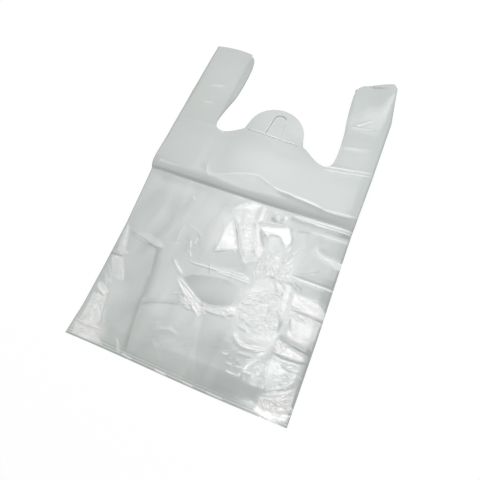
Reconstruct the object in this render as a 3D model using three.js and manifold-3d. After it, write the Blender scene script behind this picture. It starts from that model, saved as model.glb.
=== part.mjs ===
// Plastic vest carrier bag, laid flat on its back with the handles pointing away along +Y.
// It is one tube of blown film: its sides are folded in as gussets, both ends are welded, and a die cut
// opens the mouth and leaves the two handles and a hanging tab. Millimetres, +Z up.
import * as THREE from "three";
import { mergeVertices } from "three/addons/utils/BufferGeometryUtils.js";
import Module from "manifold-3d";

// Film tube
const bagWidth = 300; // outer fold to outer fold, laid flat
const bagLength = 500; // foot to handle tops
const filmThickness = 0.15; // stands in for film of about 0.02
const layerGap = 0.3; // air between two layers of film
const gussetDepth = 58; // how far each side is folded in, at the handle tops

// Welds that close the tube
const footWeldInset = 3; // skirt of loose film below the foot weld
const topWeldInset = 5;
const weldWidth = 2;

// Mouth die cut, symmetrical before the bag is laid down
const mouthTopHalf = 81; // half the gap between the handles at their tops
const mouthNeckHalf = 91.5; // half the gap at the foot of the handles
const neckLow = 340.8; // lowest point of the neckline
const neckLowHalf = 79;
const handleCorner = 22; // rounding of each handle's top inner corner

// Hanging tab, torn off along the perforated line across its foot
const tearLine = 359.5; // distance of the perforations from the foot
const tabRadius = 42.5;
const tabRise = 7.5; // centre of the tab's round above the tear line
const tabFlare = 3; // how much wider the tab is at the tear line
const slitWidth = 0.8;
const slitHeight = 40;
const slitHalfTop = 9.5;
const slitHalfFoot = 12.5;
const slitFootGap = 2; // film left between the slit and the tear line
const tearSlot = 3.2; // length of one perforation
const tearPitch = 5.4;
const tearWidth = 0.6;

// Storage fold across the middle, which holds the upper half up like a low tent
const storageFold = 257; // distance of the valley from the foot
const storageLift = 8;
const tentReach = 168; // from the valley to where the upper half is back on the surface

// Curled outer corner of the right handle
const curlLift = 15;
const curlLength = 75;
const curlWidth = 38;
const curlInset = 8; // flat strip between the curl's full height and the bag's edge
const curlTuck = 11; // how far the corner is drawn back
const cornerWidth = 12;

// The handle tops lie a little short of the full length
const topShrink = 1.5;
const topTuck = 4; // how far their corners are drawn back
const topTilt = 0.1; // slope of the right handle's top, which its curled corner pulls round

// How the bag lies: millimetres off the straight form, at a share of the length from the foot
const leftDrift = [
  [0, -0.5], [0.08, 3.5], [0.2, 4.5], [0.33, 4.5], [0.44, 2], [0.51, 0], [0.53, -1.5], [0.57, -0.5], [0.62, 0.5],
  [0.8, 0], [1, 3.5],
];
const rightDrift = [[0, -0.5], [0.2, -0.5], [0.4, -2], [0.5, -2.5], [0.68, -1], [0.88, -1], [0.94, -5], [1, -9]];
const mouthDrift = [[0.71, 0.5], [0.81, 4.5], [0.96, 2.5]];
const leftGussetDrift = [[0, 22], [0.28, 2], [1, 0]];
const rightGussetDrift = [[0, -19], [0.24, -9], [1, 0]];
const tabDrift = -3;
const neckSlope = -0.052; // the right half is drawn down by the storage fold
const footSag = 4;

// Crest of the storage fold: share of the half width from the middle, height above the valley's line
const crestLine = [
  [-1, 18], [-0.6, 15.5], [-0.41, 13], [-0.3, 21], [-0.13, 30], [0, 34], [0.13, 27], [0.3, 21.5], [0.67, 14.5], [1, 17],
];

// Creases in the front film: the points run across and along in percent, from the middle of the bag to
// its edges and from the foot to the handle tops. Height and the reach to each side are in millimetres.
const creases = [
  // crumpled middle
  { points: [[-12, 45], [-5, 41], [-6, 35]], height: 2.2, below: 9, above: 9 },
  { points: [[5, 41], [8, 37.5], [15, 34]], height: 1.8, below: 5, above: 8 },
  { points: [[16, 45], [21, 40], [28, 36]], height: 2.2, below: 7, above: 7 },
  { points: [[24, 46], [40, 46.4], [50, 42.5], [46, 39.6]], height: 2.6, below: 10, above: 8 },
  { points: [[40, 35], [45, 32.5], [58, 32.4], [68, 31.4]], height: 1.4, below: 6, above: 6 },
  { points: [[-28, 29.2], [0, 29.2], [31, 29.4]], height: 1.6, below: 3, above: 7 },
  { points: [[-38, 27], [-26, 24.6], [-13, 22]], height: 1, below: 5, above: 5 },
  // long crease round the smooth hollow and down to the foot
  { points: [[-32, 23.6], [-20, 21.4], [-5, 18.4], [1, 16], [0, 12], [5, 7.6], [12, 3.4]],
    height: 2.6, below: 7, above: 9 },
  { points: [[2, 19], [17, 19.8], [26, 21.6]], height: 1.4, below: 8, above: 5 },
  // smile shaped creases beside the right gusset
  { points: [[33, 15.2], [40, 13.4], [50, 12.8], [66, 14.8]], height: 1.8, below: 6, above: 6 },
  { points: [[40, 10.4], [57, 11.4]], height: 1.2, below: 6, above: 6 },
  { points: [[60, 24], [66, 22]], height: 2, below: 12, above: 12 },
  // pleats over the right gusset
  { points: [[72, 42.4], [85, 42], [98, 41]], height: 2, below: 9, above: 8 },
  { points: [[64, 34.2], [97, 34.2]], height: 1.6, below: 4, above: 5 },
  { points: [[68, 28.4], [98, 28.4]], height: 2, below: 6, above: 7 },
  { points: [[69, 26.4], [98, 26.4]], height: 1.2, below: 3, above: 3 },
  { points: [[70, 25], [98, 25]], height: 1.2, below: 3, above: 3 },
  { points: [[73, 21], [97, 21]], height: 2, below: 8, above: 10 },
  { points: [[70, 17], [80, 16.2], [98, 15.8]], height: 2.8, below: 12, above: 5 },
  // fan of creases in the lower right corner
  { points: [[78, 6], [95, 10]], height: 1.8, below: 6, above: 6 },
  { points: [[75, 4], [95, 6.4]], height: 1.6, below: 5, above: 5 },
  // left side
  { points: [[-88, 31.6], [-73, 30.4], [-54, 29.8]], height: 1.6, below: 4, above: 8 },
  { points: [[-43, 38.2], [-30, 37.4], [-26, 36]], height: 1.2, below: 5, above: 6 },
  { points: [[-34, 36], [-35, 30]], height: 1, below: 7, above: 7 },
  { points: [[-94, 30], [-91, 26]], height: 2, below: 7, above: 7 },
  { points: [[-93, 15.4], [-82, 12.6]], height: 1.6, below: 6, above: 6 },
  { points: [[-86, 11], [-88, 6]], height: 1.8, below: 8, above: 8 },
  // feet of the handles
  { points: [[54, 67.2], [77, 68], [99, 69]], height: 1.2, below: 4, above: 5 },
  { points: [[-99, 69.2], [-58, 70.2]], height: 0.8, below: 5, above: 6 },
];
const crestCrease = { height: 1.6, below: 10, above: 14 };
// Small fold just below the valley of the storage fold, on the right
const lesserFold = { from: 0.38, to: 0.98, belowValley: 3, height: 2.4, below: 9, above: 3 };
const blister = { across: 31, along: 49.2, radius: 9, height: 2.6 };

// Places where the mesh has its lines: rows in percent of the length, columns as shares of the width
// between the two gusset folds. The film over and in each gusset is divided evenly.
const rowPlaces = [
  3, 6, 8.6, 10.6, 13, 15.8, 18, 21.2, 23.4, 25, 25.7, 26.4, 27.4, 28.6, 29.4, 31, 32.6, 34.2, 36, 38,
  40, 42.2, 44.2, 46.2, 48, 49.2, 63, 67, 69.4, 73, 80, 86, 90, 95,
];
const foldRows = [-3, 0, 3, 9, 17, 36]; // above the valley of the storage fold
const frontColumns = [0.1, 0.2, 0.3, 0.39, 0.47, 0.54, 0.61, 0.68, 0.75, 0.82, 0.91];
const backColumns = [0.2, 0.4, 0.6, 0.8];
const gussetColumns = [0, 0.18, 0.52, 1]; // shares from the edge to the gusset fold

// Colour of the film
const film = { color: 0xd2d7d5, roughness: 0.32, metalness: 0 };

const halfWidth = bagWidth / 2;
const layerPitch = filmThickness + layerGap;
// Centre height of each layer, and the share of a front crease that it takes up
const layers = {
  back: { height: filmThickness / 2, follows: 0 },
  backLeaf: { height: filmThickness / 2 + layerPitch, follows: 0.1 },
  frontLeaf: { height: filmThickness / 2 + 2 * layerPitch, follows: 0.3 },
  front: { height: filmThickness / 2 + 3 * layerPitch, follows: 1 },
};

function clamp01(value) {
  return THREE.MathUtils.clamp(value, 0, 1);
}

function smooth(value) {
  return THREE.MathUtils.smoothstep(value, 0, 1);
}

// Value of a list of [place, value] pairs at a place, in straight stretches
function along(list, place) {
  const next = list.findIndex((pair) => pair[0] > place);
  if (next === -1) return list[list.length - 1][1];
  if (next === 0) return list[0][1];
  const [from, to] = [list[next - 1], list[next]];
  return THREE.MathUtils.mapLinear(place, from[0], to[0], from[1], to[1]);
}

// Distance of a point from a line of points, negative below the line
function signedDistance(line, x, y) {
  let nearest = Infinity;
  for (let i = 1; i < line.length; i++) {
    const [from, to] = [line[i - 1], line[i]];
    const run = [to[0] - from[0], to[1] - from[1]];
    const offset = [x - from[0], y - from[1]];
    const share = clamp01((offset[0] * run[0] + offset[1] * run[1]) / (run[0] ** 2 + run[1] ** 2));
    const distance = Math.hypot(offset[0] - share * run[0], offset[1] - share * run[1]);
    const side = Math.sign(run[0] * offset[1] - run[1] * offset[0]) * Math.sign(run[0] || 1);
    if (distance < Math.abs(nearest)) nearest = side < 0 ? -distance : distance;
  }
  return nearest;
}

function onBag([across, up]) {
  return [(across / 100) * halfWidth, (up / 100) * bagLength];
}

const lesserLine = [lesserFold.from, lesserFold.to].map((share) => [
  share * halfWidth, storageFold - lesserFold.belowValley,
]);
const sharpCrest = crestLine.filter(([share]) => share > -0.4);
const creaseLines = [
  ...creases.map((crease) => ({ ...crease, line: crease.points.map(onBag) })),
  { ...crestCrease, line: sharpCrest.map(([share, rise]) => [share * halfWidth, storageFold + rise]) },
  { ...lesserFold, line: lesserLine },
];

// Height of the small folds in the front film
function creaseHeight(x, y) {
  let height = 0;
  for (const { line, height: top, below, above } of creaseLines) {
    const distance = signedDistance(line, x, y);
    const fall = clamp01(1 - Math.abs(distance) / (distance < 0 ? below : above));
    height = Math.max(height, top * fall);
  }
  const [bx, by] = onBag([blister.across, blister.along]);
  const dome = clamp01(1 - Math.hypot(x - bx, y - by) / blister.radius);
  const nearWeld = smooth((y - footWeldInset - weldWidth) / 10);
  return Math.max(height, blister.height * smooth(dome)) * nearWeld;
}

function crestAt(x) {
  return storageFold + along(crestLine, x / halfWidth);
}

// Height that all the layers share: the tent of the storage fold and the curled corner
function liftHeight(x, y) {
  const crest = crestAt(x);
  let tent = 0;
  if (y > storageFold && y <= crest) {
    const rise = (y - storageFold) / (crest - storageFold);
    const roundness = smooth((x + halfWidth) / halfWidth);
    tent = THREE.MathUtils.lerp(Math.sqrt(rise), rise, roundness);
  } else if (y > crest) {
    tent = 1 - smooth((y - crest) / (storageFold + tentReach - crest));
  }
  return storageLift * tent + curlLift * curlShare(x, y);
}

function curlShare(x, y) {
  const fromSide = smooth((x - (halfWidth - curlWidth - curlInset)) / curlWidth);
  return fromSide * smooth((y - (bagLength - curlLength)) / curlLength);
}

function filmHeight(layer, x, y) {
  return layers[layer].height + liftHeight(x, y) + layers[layer].follows * creaseHeight(x, y);
}

// The line of a mesh row: rows near the storage fold follow its crest, the foot sags a little and the
// corners of the handle tops are drawn back
function rowLine(x, row) {
  const crestRow = crestAt(halfWidth);
  const below = (row - storageFold) / (crestRow - storageFold);
  const above = (storageFold + tentReach - row) / (storageFold + tentReach - crestRow);
  const bend = clamp01(Math.min(below, above)) * (crestAt(x) - crestRow);
  const sag = footSag * smooth((x + halfWidth) / (0.75 * bagWidth)) * clamp01(1 - row / (0.1 * bagLength));
  const nearTop = smooth((row - (bagLength - curlLength)) / curlLength);
  const handleMiddle = (mouthTopHalf + halfWidth) / 2;
  const round = clamp01(((Math.abs(x) - handleMiddle) / (halfWidth - handleMiddle)) ** 2);
  const tilt = x > 0 ? topTilt * (handleMiddle + cornerWidth - x) : 0;
  const corner = smooth((x - (halfWidth - cornerWidth - curlInset)) / cornerWidth);
  const tuck = topShrink + Math.max(topTuck * round + tilt, curlTuck * corner);
  return row + bend - sag - nearTop * tuck;
}

// The folded edges of the tube at a row
function foldsAt(row) {
  const share = row / bagLength;
  const left = -halfWidth + along(leftDrift, share);
  const right = halfWidth + along(rightDrift, share);
  const leftFold = left + gussetDepth + along(leftGussetDrift, share);
  const rightFold = right - gussetDepth - along(rightGussetDrift, share);
  return { left, leftFold, rightFold, right };
}

// Places across a gusset, from the bag's edge to the gusset fold
function gussetPlaces(edge, fold) {
  return gussetColumns.map((share) => THREE.MathUtils.lerp(edge, fold, share));
}

// Places across a panel, from the left edge to the right one
function panelPlaces(row, middleColumns) {
  const { left, leftFold, rightFold, right } = foldsAt(row);
  const middle = middleColumns.map((share) => THREE.MathUtils.lerp(leftFold, rightFold, share));
  const edge = layerPitch / 2;
  return [
    ...gussetPlaces(left + edge, leftFold),
    ...middle,
    ...gussetPlaces(right - edge, rightFold).reverse(),
  ];
}

// One closed path round the film at a row, each point with the direction of the film's outer side
function filmPath(row) {
  const { left, leftFold, rightFold, right } = foldsAt(row);
  const edge = layerPitch / 2;
  const path = [];
  const heightAt = (layer, x) => filmHeight(layer, x, rowLine(x, row));
  const add = (x, z, nx, nz) => path.push({ x, y: rowLine(x, row), z, nx, nz });
  const lay = (layer, places, normal) => places.forEach((x) => add(x, heightAt(layer, x), 0, normal));
  const turn = (x, layer, next, side) => add(x, (heightAt(layer, x) + heightAt(next, x)) / 2, side, 0);

  lay("front", panelPlaces(row, frontColumns), 1);
  turn(right, "front", "frontLeaf", 1);
  lay("frontLeaf", gussetPlaces(right - edge, rightFold), -1);
  turn(rightFold - edge, "frontLeaf", "backLeaf", 1);
  lay("backLeaf", gussetPlaces(right - edge, rightFold).reverse(), 1);
  turn(right, "backLeaf", "back", 1);
  lay("back", panelPlaces(row, backColumns).reverse(), -1);
  turn(left, "back", "backLeaf", -1);
  lay("backLeaf", gussetPlaces(left + edge, leftFold), 1);
  turn(leftFold + edge, "backLeaf", "frontLeaf", -1);
  lay("frontLeaf", gussetPlaces(left + edge, leftFold).reverse(), -1);
  turn(left, "frontLeaf", "front", -1);
  return path;
}

function geometryOf(points, faces) {
  const geometry = new THREE.BufferGeometry();
  geometry.setAttribute("position", new THREE.Float32BufferAttribute(points.flat(), 3));
  geometry.setIndex(faces.flat());
  return geometry;
}

// Skin of film through the rows: an outer and an inner ring at each row, joined at both ends
function tubeGeometry(rows) {
  const paths = rows.map(filmPath);
  const count = paths[0].length;
  const points = [];
  for (const path of paths) {
    for (const half of [filmThickness / 2, -filmThickness / 2]) {
      for (const p of path) points.push([p.x + half * p.nx, p.y, p.z + half * p.nz]);
    }
  }
  const at = (row, ring, k) => (2 * row + ring) * count + (k % count);
  const faces = [];
  const quad = (a, b, c, d) => faces.push([a, b, c], [a, c, d]);
  for (let k = 0; k < count; k++) {
    for (let row = 0; row + 1 < rows.length; row++) {
      quad(at(row, 0, k), at(row, 0, k + 1), at(row + 1, 0, k + 1), at(row + 1, 0, k));
      quad(at(row, 1, k), at(row + 1, 1, k), at(row + 1, 1, k + 1), at(row, 1, k + 1));
    }
    const last = rows.length - 1;
    quad(at(0, 1, k), at(0, 1, k + 1), at(0, 0, k + 1), at(0, 0, k));
    quad(at(last, 0, k), at(last, 0, k + 1), at(last, 1, k + 1), at(last, 1, k));
  }
  return geometryOf(points, faces);
}

// Bar of fused film between two rows, from the middle of the back film to the middle of the front film
function weldGeometry(nearRow, farRow) {
  const points = [];
  const [near, far] = [nearRow, farRow].map((row) => panelPlaces(row, frontColumns));
  near.forEach((nearX, i) => {
    for (const [layer, x, row] of [
      ["back", nearX, nearRow], ["back", far[i], farRow], ["front", far[i], farRow], ["front", nearX, nearRow],
    ]) {
      const y = rowLine(x, row);
      points.push([x, y, filmHeight(layer, x, y)]);
    }
  });
  const faces = [];
  const last = 4 * (near.length - 1);
  for (let start = 0; start < last; start += 4) {
    for (let side = 0; side < 4; side++) {
      const [a, b] = [start + side, start + ((side + 1) % 4)];
      faces.push([a, b, a + 4], [b, b + 4, a + 4]);
    }
  }
  faces.push([0, 3, 2], [0, 2, 1], [last, last + 1, last + 2], [last, last + 2, last + 3]);
  return geometryOf(points, faces);
}

// Straight die through all the layers
function dieGeometry(outline) {
  const height = storageLift + curlLift + 30;
  const geometry = new THREE.ExtrudeGeometry(new THREE.Shape(outline), { depth: height, bevelEnabled: false });
  return geometry.translate(0, 0, -10);
}

// Where a point of the die cut lies once the bag is laid down
function laid(x, y) {
  const fade = clamp01((bagLength - 30 - y) / (bagLength - 30 - tearLine));
  return new THREE.Vector2(x + along(mouthDrift, y / bagLength) * fadeTab(x), y + neckSlope * x * fade);
}

// The drift of the mouth doesn't reach the tab, which hangs free in the middle
function fadeTab(x) {
  return smooth((Math.abs(x) - tabRadius) / (mouthTopHalf - tabRadius));
}

function mouthOutline() {
  const side = new THREE.Path();
  side.absarc(0, tearLine + tabRise, tabRadius, Math.PI / 2, 0.1, true);
  side.lineTo(tabRadius + tabFlare, tearLine);
  side.bezierCurveTo(tabRadius + 13, tearLine - 7, neckLowHalf - 11, neckLow, neckLowHalf, neckLow);
  const bend = mouthNeckHalf - neckLowHalf;
  side.bezierCurveTo(neckLowHalf + 0.6 * bend, neckLow, mouthNeckHalf, neckLow + 0.5 * bend, mouthNeckHalf, neckLow + 1.25 * bend);
  const cornerStart = bagLength - handleCorner;
  side.bezierCurveTo(mouthNeckHalf, neckLow + 4 * bend, mouthTopHalf + 0.5, neckLow + 5.5 * bend, mouthTopHalf, cornerStart);
  side.quadraticCurveTo(mouthTopHalf, bagLength - 0.15 * handleCorner, mouthTopHalf + handleCorner, bagLength + 0.5);
  side.lineTo(mouthTopHalf + handleCorner, bagLength + handleCorner);
  const points = side.getPoints(8);
  const right = points.map((p) => laid(p.x, p.y));
  const left = points.map((p) => laid(-p.x, p.y)).reverse();
  for (const p of [...left, ...right]) {
    if (Math.abs(p.x) < tabRadius + 8) p.x += tabDrift * smooth((tabRadius + 8 - Math.abs(p.x)) / 8);
  }
  return [...left.slice(0, -1), ...right];
}

// Narrow band along a line of points
function ribbon(points, width) {
  const sides = [[], []];
  points.forEach((p, i) => {
    const before = points[Math.max(i - 1, 0)];
    const after = points[Math.min(i + 1, points.length - 1)];
    const normal = new THREE.Vector2(before.y - after.y, after.x - before.x).setLength(width / 2);
    sides[0].push(p.clone().sub(normal));
    sides[1].push(p.clone().add(normal));
  });
  return [...sides[0], ...sides[1].reverse()];
}

function slitOutline() {
  const half = new THREE.Path();
  const archCentre = tearLine + slitHeight - slitHalfTop;
  half.moveTo(slitHalfFoot, tearLine + slitFootGap);
  half.lineTo(slitHalfTop, archCentre);
  half.absarc(0, archCentre, slitHalfTop, 0, Math.PI, false);
  half.lineTo(-slitHalfFoot, tearLine + slitFootGap);
  const points = half.getPoints(12).map((p) => laid(p.x, p.y));
  points.forEach((p) => (p.x += tabDrift));
  return ribbon(points, slitWidth);
}

function tearSlotOutlines() {
  const reach = tabRadius - tearPitch / 2;
  const count = Math.floor(reach / tearPitch);
  const outlines = [];
  for (let i = -count; i <= count; i++) {
    const ends = [-tearSlot / 2, tearSlot / 2].map((end) => laid(i * tearPitch + end, tearLine - tearWidth));
    ends.forEach((p) => (p.x += tabDrift));
    outlines.push(ribbon(ends, tearWidth));
  }
  return outlines;
}

function meshRows() {
  const welds = [
    0, footWeldInset, footWeldInset + weldWidth,
    bagLength - topWeldInset - weldWidth, bagLength - topWeldInset, bagLength,
  ];
  const fold = foldRows.map((above) => storageFold + above);
  const placed = rowPlaces.map((place) => (place / 100) * bagLength);
  const free = placed.filter((row) => welds.concat(fold).every((line) => Math.abs(line - row) > 1.5));
  return [...welds, ...fold, ...free].sort((a, b) => a - b);
}

const wasm = await Module();
wasm.setup();

function solidOf(geometry) {
  geometry.deleteAttribute("normal");
  geometry.deleteAttribute("uv");
  const merged = mergeVertices(geometry, 1e-4);
  return new wasm.Manifold(
    new wasm.Mesh({
      numProp: 3,
      vertProperties: merged.attributes.position.array,
      triVerts: new Uint32Array(merged.index.array),
    }),
  );
}

function makeBag() {
  const footWeld = weldGeometry(footWeldInset, footWeldInset + weldWidth);
  const topWeld = weldGeometry(bagLength - topWeldInset - weldWidth, bagLength - topWeldInset);
  let solid = solidOf(tubeGeometry(meshRows())).add(solidOf(footWeld)).add(solidOf(topWeld));
  for (const outline of [mouthOutline(), slitOutline(), ...tearSlotOutlines()]) {
    solid = solid.subtract(solidOf(dieGeometry(outline)));
  }
  const { vertProperties, triVerts } = solid.getMesh();
  const geometry = new THREE.BufferGeometry();
  geometry.setAttribute("position", new THREE.BufferAttribute(vertProperties, 3));
  geometry.setIndex(new THREE.BufferAttribute(triVerts, 1));
  geometry.computeVertexNormals();
  const mesh = new THREE.Mesh(geometry, new THREE.MeshStandardMaterial({ ...film, side: THREE.DoubleSide }));
  mesh.name = "carrier_bag";
  return mesh;
}

const bag = new THREE.Group();
bag.add(makeBag());

// The origin is on the surface below the middle of the laid bag
const box = new THREE.Box3().setFromObject(bag);
const centre = box.getCenter(new THREE.Vector3());
bag.position.set(-centre.x, -centre.y, -box.min.z);

export default bag;
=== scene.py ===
# Plastic vest carrier bag lying flat on a pale floor: its creased film, the studio light and the camera.
# Sizes are in millimetres in the bag's own frame: x across from the middle, y along from the foot to the
# handle tops, z up. They are turned into metres in the CAD frame when the mesh is written.
import math
from functools import partial

import bmesh
import bpy
import numpy as np
from mathutils import Matrix, Vector, noise
from mathutils.geometry import delaunay_2d_cdt

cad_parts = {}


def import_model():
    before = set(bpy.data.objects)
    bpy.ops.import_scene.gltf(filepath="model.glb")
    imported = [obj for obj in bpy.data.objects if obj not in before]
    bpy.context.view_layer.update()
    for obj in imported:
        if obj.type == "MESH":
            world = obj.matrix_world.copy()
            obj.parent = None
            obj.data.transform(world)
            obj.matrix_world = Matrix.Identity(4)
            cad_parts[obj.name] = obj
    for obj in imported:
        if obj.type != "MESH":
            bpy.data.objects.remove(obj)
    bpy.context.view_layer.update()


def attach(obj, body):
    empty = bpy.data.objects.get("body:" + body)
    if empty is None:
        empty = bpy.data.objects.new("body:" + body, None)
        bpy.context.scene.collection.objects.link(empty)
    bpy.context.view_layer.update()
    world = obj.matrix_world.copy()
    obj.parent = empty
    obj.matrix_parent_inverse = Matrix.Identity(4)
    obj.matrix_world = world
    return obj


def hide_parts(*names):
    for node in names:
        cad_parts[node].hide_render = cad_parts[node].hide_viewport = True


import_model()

# Film tube, as in the CAD part
BAG_WIDTH = 300
BAG_LENGTH = 500
HALF = BAG_WIDTH / 2
GUSSET_DEPTH = 58
FOOT_WELD = (3, 5)
TOP_WELD = (493, 495)

# Heights of the layers of film where the bag lies loosest, and how closely they lie at the welds
BACK, BACK_LEAF, FRONT_LEAF, FRONT_OVER_LEAVES, FRONT_ALONE = 0.08, 0.4, 0.75, 1.1, 0.95
WELD_SPREAD = 0.15
WELD_REACH = 24
LEAF_STEP = 10  # how far past the gusset fold the front film takes to come down
EDGE_DROP, EDGE_REACH = 1.1, 12  # how the front film curves down to the folded edges

# Where the frame's origin lies in the bag's own frame
ORIGIN = (-1.025, 247.25)

# Storage fold across the middle
FOLD = 257
FOLD_LIFT = 8
TENT_REACH = 168
FLAT_FROM, FLAT_WITHIN = 10, 90  # where the tent's foot side turns from bulged to flat, to the right
BULGED, FLAT = 0.35, 0.9  # powers that the two kinds of side rise with

# Curled corner and drawn in tops of the handles
CURL_LIFT, CURL_LENGTH, CURL_WIDTH, CURL_INSET = 13, 90, 46, 5
CURL_TUCK, CORNER_WIDTH = 11, 12
TOP_SHRINK, TOP_TUCK, TOP_TILT = 1.5, 4, 0.1
INNER_TUCK, INNER_POWER = 11, 4  # how the right handle's top drops inwards
OUTER_RISE, OUTER_FROM, OUTER_WITHIN = 2.4, 95, 20  # and rises outwards
FOOT_SAG, SAG_ACROSS, SAG_ALONG = 4, 0.75, 0.1  # the last two as shares of the width and length

# Mouth die cut and hanging tab
MOUTH_TOP_HALF, MOUTH_NECK_HALF = 81, 91.5
NECK_LOW, NECK_LOW_HALF = 340.8, 79
HANDLE_CORNER = 22
TEAR_LINE, TAB_RADIUS, TAB_RISE, TAB_FLARE = 359.5, 42.5, 7.5, 3
TAB_DRIFT, TAB_FADE = -3, 8
NECK_SLOPE, SLOPE_END = -0.052, BAG_LENGTH - 30
SLIT_WIDTH, SLIT_HEIGHT, SLIT_HALF_TOP, SLIT_HALF_FOOT, SLIT_FOOT_GAP = 0.9, 40, 9.5, 12.5, 2
TEAR_SLOT, TEAR_PITCH, TEAR_WIDTH = 3.2, 5.4, 0.7

# How the bag lies: share of the length, and millimetres off the straight form
LEFT_DRIFT = [
    (0, -0.5), (0.08, 3.5), (0.2, 4.5), (0.33, 4.5), (0.44, 2), (0.51, 0), (0.53, -1.5), (0.57, -0.5),
    (0.62, 0.5), (0.8, 0), (1, 3.5),
]
RIGHT_DRIFT = [(0, -0.5), (0.2, -0.5), (0.4, -2), (0.5, -2.5), (0.68, -1), (0.88, -1), (0.94, -5), (1, -9)]
LEFT_GUSSET_DRIFT = [(0, 22), (0.28, 2), (1, 0)]
RIGHT_GUSSET_DRIFT = [(0, -19), (0.24, -9), (1, 0)]
MOUTH_DRIFT = [(0.71, 0.5), (0.81, 4.5), (0.96, 2.5)]

# Crest of the storage fold above the valley, at a share of the half width
CREST = [
    (-1, 18), (-0.6, 15.5), (-0.41, 13), (-0.3, 21), (-0.13, 30), (0, 34), (0.13, 27), (0.3, 21.5),
    (0.67, 14.5), (1, 17),
]

# Mesh steps: fine over the creased body, coarse above it
FINE_STEP, COARSE_STEP = 1.5, 3.2
FINE_TOP = 300
BACK_EVERY = 5
BACK_COLUMNS = 50
LEAF_COLUMNS = 5
ARC_STEPS, SLOPE_STEPS, TURN_STEPS, INNER_STEPS, SLIT_STEPS = 30, 16, 14, 40, 18  # along the die cuts
CREASE_STEP, POINT_GAP = 1.3, 0.4  # along a crease line, and clear of the points beside it
MERGED = 2e-5  # vertices of the panels and gussets this close, in metres, become one
PINCH_SIDES = (0.45, 1.0)  # rows of points beside a crease line
PINCH_HEIGHT, PINCH_WIDTH = 0.12, 1.1  # narrow ridge that whitened film stands up in
WHITE_WIDTH, WHITE_REACH = 0.75, 3  # whitening and painted highlight beside a crease line, painted shade where negative
CREASE_ENDS, SHADE_ENDS = 0.2, 0.1  # share of a line that it fades over at each end
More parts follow.
